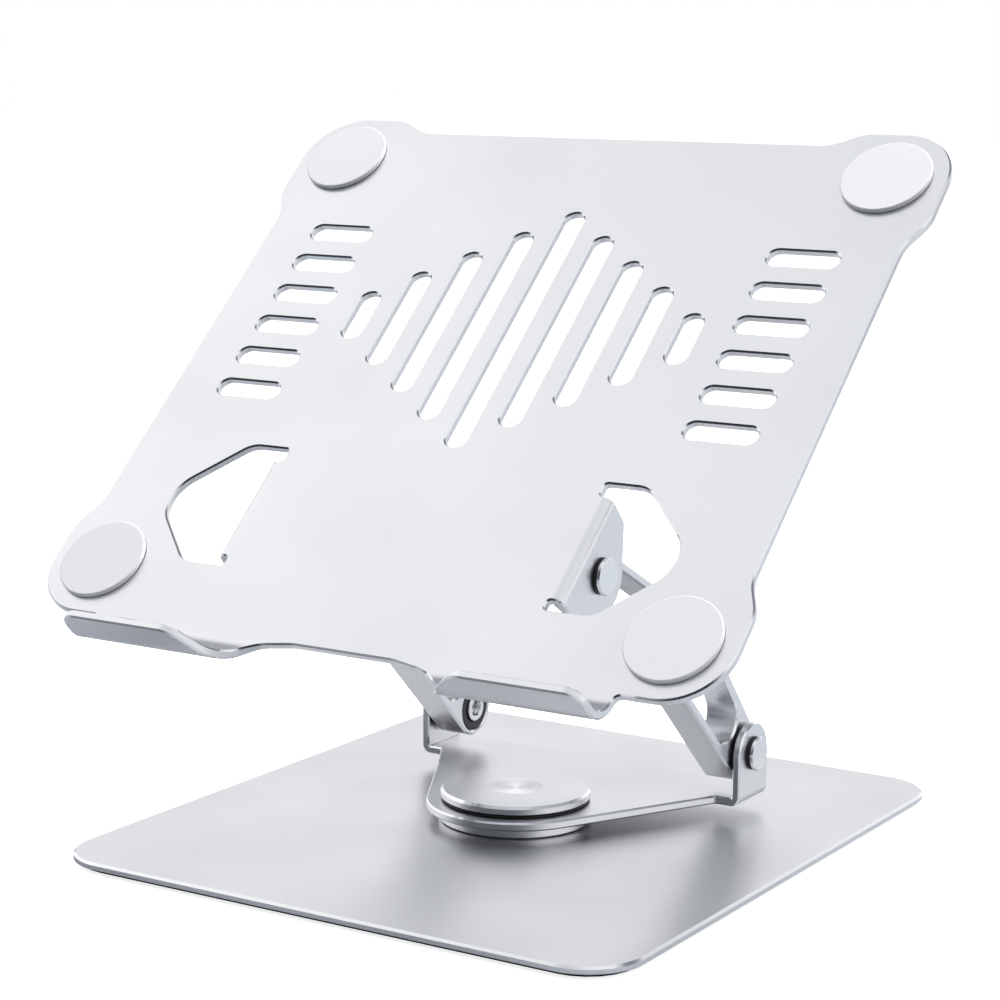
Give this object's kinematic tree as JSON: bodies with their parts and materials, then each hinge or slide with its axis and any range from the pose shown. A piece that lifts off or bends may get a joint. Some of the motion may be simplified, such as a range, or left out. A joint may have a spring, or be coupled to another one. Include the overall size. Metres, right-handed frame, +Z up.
{
  "type": "laptop stand",
  "caption": "Folding aluminium laptop stand: slotted tray with two front lips on a pair of hinged arms, on a swivelling base plate.",
  "frame": {"origin": "centre of the mat's underside, on the surface the stand rests on and on the swivel's axis", "axes": "+Z up along the swivel's axis, +X towards the stand's right seen from the front, -Y towards the front where the tray's lips are"},
  "size_m": [0.2604, 0.2461, 0.241],
  "materials": {
    "silver_aluminium": "bead blasted and clear anodised, with polished chamfers",
    "bright_metal": "turned and polished",
    "steel": "plain machined",
    "black_plastic": "matt moulded",
    "grey_silicone": "fine grained matt silicone",
    "black_rubber": "matt anti-slip sheet"
  },
  "bodies": {
    "base": {"base_mat": "black_rubber", "base_plate": "silver_aluminium", "swivel_hub": "silver_aluminium", "hub_screw_1": "steel", "hub_screw_2": "steel", "hub_screw_3": "steel", "swivel_bolt": "steel", "swivel_spring": "steel", "swivel_cap": "silver_aluminium", "lower_swivel_washer": "black_plastic"},
    "turntable": {"bracket": "silver_aluminium", "upper_swivel_washer": "black_plastic", "lower_pin_left": "bright_metal", "lower_pin_washer_left": "black_plastic", "lower_sleeve_left": "bright_metal", "lower_friction_washer_left": "black_plastic", "lower_pin_right": "bright_metal", "lower_pin_washer_right": "black_plastic", "lower_sleeve_right": "bright_metal", "lower_friction_washer_right": "black_plastic"},
    "arms": {"arm_left": "silver_aluminium", "arm_right": "silver_aluminium", "lower_bush_left": "black_plastic", "lower_bush_right": "black_plastic", "upper_bush_left": "black_plastic", "upper_bush_right": "black_plastic"},
    "tray": {"tray": "silver_aluminium", "front_pad_left": "grey_silicone", "front_pad_right": "grey_silicone", "back_pad_left": "grey_silicone", "back_pad_right": "grey_silicone", "upper_pin_left": "bright_metal", "upper_pin_washer_left": "black_plastic", "upper_sleeve_left": "bright_metal", "upper_friction_washer_left": "black_plastic", "upper_pin_right": "bright_metal", "upper_pin_washer_right": "black_plastic", "upper_sleeve_right": "bright_metal", "upper_friction_washer_right": "black_plastic"}
  },
  "joints": [
    {"name": "swivel", "type": "hinge", "parent": "base", "child": "turntable", "pos_m": [0, 0, 0.0081], "axis": [0, 0, 1], "continuous": true},
    {"name": "arm_lift", "type": "hinge", "parent": "turntable", "child": "arms", "pos_m": [0, 0.0513, 0.0255], "axis": [1, 0, 0], "range_deg": [-50, 15]},
    {"name": "tray_tilt", "type": "hinge", "parent": "arms", "child": "tray", "pos_m": [0, -0.0573, 0.10704], "axis": [1, 0, 0], "range_deg": [-42, 35]}
  ]
}
